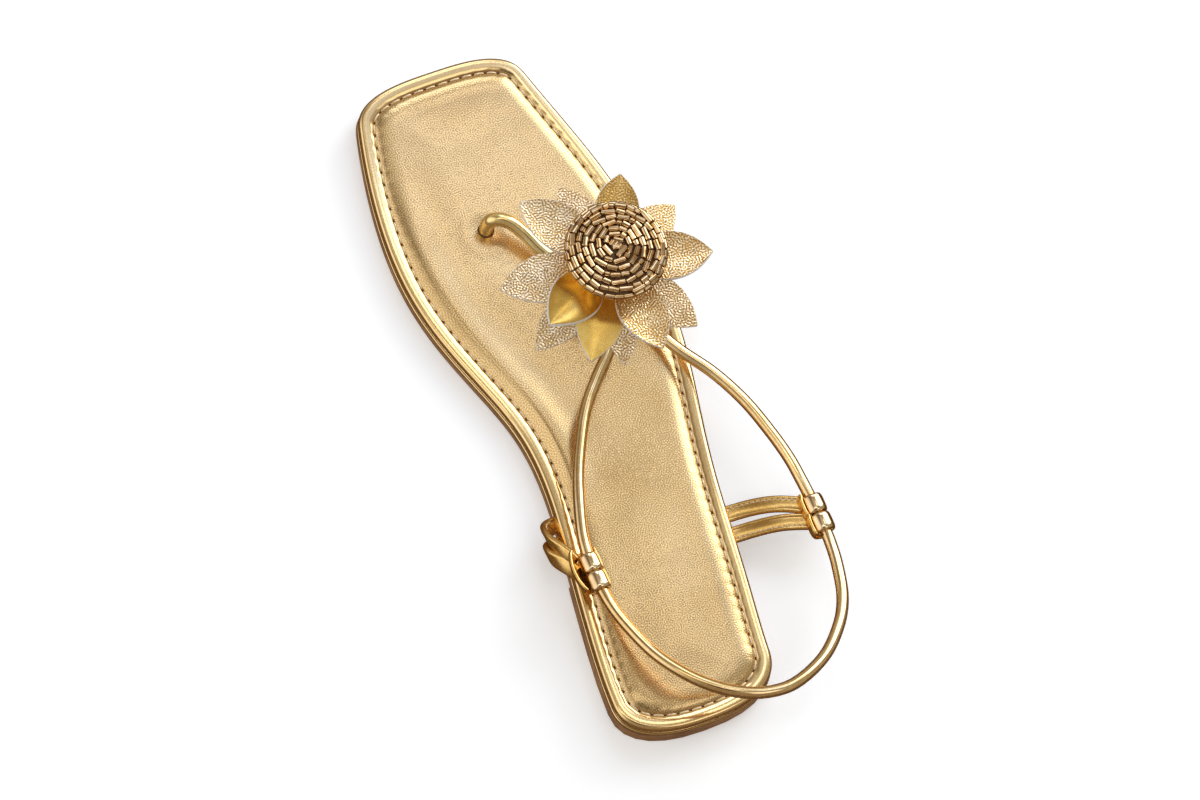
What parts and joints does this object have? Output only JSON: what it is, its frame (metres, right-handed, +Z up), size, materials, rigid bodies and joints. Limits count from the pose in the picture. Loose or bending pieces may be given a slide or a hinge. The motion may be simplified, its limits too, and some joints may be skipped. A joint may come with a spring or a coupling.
{
  "type": "flat toe-post sandal",
  "caption": "Flat gold leather sandal with a square toe, a toe post, a round slingback cord held by beaded side straps, and a leather flower with a beaded centre.",
  "frame": {"origin": "on the floor under the middle of the heel seat, on the underside of the heel lift, 30 mm ahead of the heel's end", "axes": "+Z up from the floor, +Y from heel to toe, +X to the outer (little toe) side of the right foot"},
  "size_m": [0.1077, 0.2568, 0.0354],
  "materials": {
    "brown_edge": "burnished edge, satin",
    "gold_leather": "metallic foil, soft gloss",
    "footbed_leather": "metallic foil on a fine pebble grain",
    "cord_leather": "metallic foil, glossy",
    "strap_leather": "metallic foil, satin",
    "bead_metal": "polished pale gold plating",
    "amber_leather": "smooth metallic foil, satin",
    "crackle_leather": "crackled champagne foil",
    "disc_ground": "dark ground under glass bugle beads"
  },
  "bodies": {
    "root": {"heel_lift": "brown_edge", "outsole": "brown_edge", "midsole": "gold_leather", "footbed": "footbed_leather", "strap_cord": "cord_leather", "side_strap_inner": "strap_leather", "side_strap_outer": "strap_leather", "bead_inner_front": "bead_metal", "bead_inner_rear": "bead_metal", "bead_outer_front": "bead_metal", "bead_outer_rear": "bead_metal", "flower_cup": "amber_leather", "flower_disc": "disc_ground", "petal_front_1": "crackle_leather", "petal_front_2": "crackle_leather", "petal_front_3": "crackle_leather", "petal_front_4": "amber_leather", "petal_front_5": "amber_leather", "petal_front_6": "crackle_leather", "petal_front_7": "crackle_leather", "petal_back_1": "crackle_leather", "petal_back_2": "crackle_leather", "petal_back_3": "crackle_leather", "petal_back_4": "crackle_leather", "petal_back_5": "crackle_leather"}
  },
  "joints": []
}
